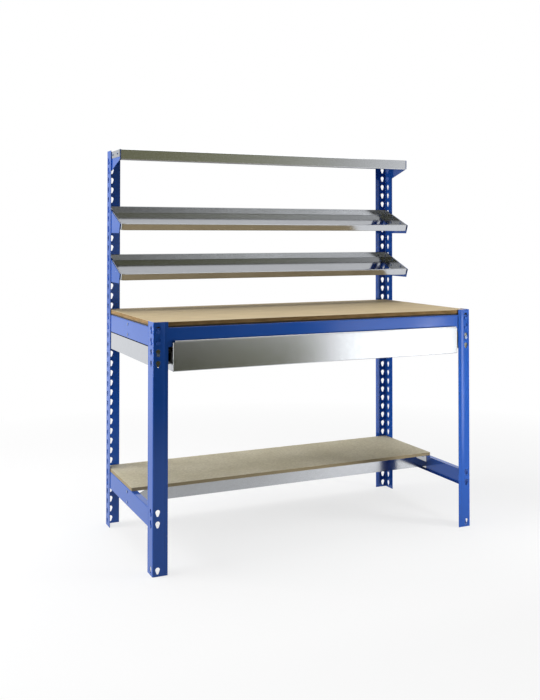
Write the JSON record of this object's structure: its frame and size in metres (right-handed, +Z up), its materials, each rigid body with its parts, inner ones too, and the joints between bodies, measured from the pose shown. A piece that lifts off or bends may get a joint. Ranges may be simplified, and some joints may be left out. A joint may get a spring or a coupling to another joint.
{
  "type": "workbench",
  "caption": "Boltless steel workbench with a wooden worktop over a wide drawer, a half-depth lower shelf, a top shelf and tilted trays on keyhole posts.",
  "frame": {"origin": "on the floor, under the middle of the whole bench's box", "axes": "+X to the right seen from the front, +Y to the back, away from the user, +Z up"},
  "size_m": [1.224, 0.626, 1.398],
  "materials": {
    "blue_paint": "semi-gloss powder coat on pressed steel",
    "hook_rivets": "rivet heads coated with the posts' blue",
    "galvanised": "galvanised sheet with a faint spangle",
    "worktop_board": "sanded fibreboard with brown edges",
    "shelf_board": "raw chipboard",
    "zinc_fasteners": "bright zinc plate",
    "slide_steel": "zinc-plated rolled steel",
    "slide_balls": "polished bearing balls"
  },
  "bodies": {
    "root": {"drawer_guide_bolts": "zinc_fasteners", "drawer_guide_nuts": "zinc_fasteners", "front_left_post": "blue_paint", "front_right_post": "blue_paint", "front_top_beam": "blue_paint", "front_top_beam_rivets": "hook_rivets", "left_drawer_guide": "galvanised", "left_lower_beam": "blue_paint", "left_lower_beam_rivets": "hook_rivets", "left_lower_tray_bracket": "blue_paint", "left_slide_outer_channel": "slide_steel", "left_top_beam": "blue_paint", "left_top_beam_rivets": "hook_rivets", "left_top_shelf_bracket": "blue_paint", "left_upper_tray_bracket": "blue_paint", "lower_shelf_bar": "galvanised", "lower_shelf_bar_rivets": "zinc_fasteners", "lower_shelf_board": "shelf_board", "lower_tray": "galvanised", "lower_tray_bracket_rivets": "hook_rivets", "lower_tray_screws": "zinc_fasteners", "rear_left_post": "blue_paint", "rear_lower_beam": "blue_paint", "rear_lower_beam_rivets": "hook_rivets", "rear_right_post": "blue_paint", "rear_top_beam": "blue_paint", "rear_top_beam_rivets": "hook_rivets", "right_drawer_guide": "galvanised", "right_lower_beam": "blue_paint", "right_lower_beam_rivets": "hook_rivets", "right_lower_tray_bracket": "blue_paint", "right_slide_outer_channel": "slide_steel", "right_top_beam": "blue_paint", "right_top_beam_rivets": "hook_rivets", "right_top_shelf_bracket": "blue_paint", "right_upper_tray_bracket": "blue_paint", "slide_outer_rivets": "zinc_fasteners", "top_shelf": "galvanised", "top_shelf_bracket_rivets": "hook_rivets", "top_shelf_screws": "zinc_fasteners", "upper_tray": "galvanised", "upper_tray_bracket_rivets": "hook_rivets", "upper_tray_screws": "zinc_fasteners", "worktop": "worktop_board", "worktop_bar": "galvanised", "worktop_bar_rivets": "zinc_fasteners"},
    "drawer": {"drawer_tray": "galvanised", "drawer_front": "galvanised", "drawer_front_rivets": "zinc_fasteners", "left_slide_inner_channel": "slide_steel", "right_slide_inner_channel": "slide_steel", "slide_inner_rivets": "zinc_fasteners"},
    "left_slide_cage": {"left_slide_ball_cage": "slide_steel", "left_slide_balls": "slide_balls"},
    "right_slide_cage": {"right_slide_ball_cage": "slide_steel", "right_slide_balls": "slide_balls"}
  },
  "joints": [
    {"name": "drawer_slide", "type": "slide", "parent": "root", "child": "drawer", "axis": [0, -1, 0], "range_m": [0, 0.4]},
    {"name": "left_cage_slide", "type": "slide", "parent": "root", "child": "left_slide_cage", "axis": [0, -1, 0], "range_m": [0, 0.2]},
    {"name": "right_cage_slide", "type": "slide", "parent": "root", "child": "right_slide_cage", "axis": [0, -1, 0], "range_m": [0, 0.2]}
  ],
  "couplings": [
    {"joint": "left_cage_slide", "follows": "drawer_slide", "ratio": 0.5},
    {"joint": "right_cage_slide", "follows": "drawer_slide", "ratio": 0.5}
  ]
}
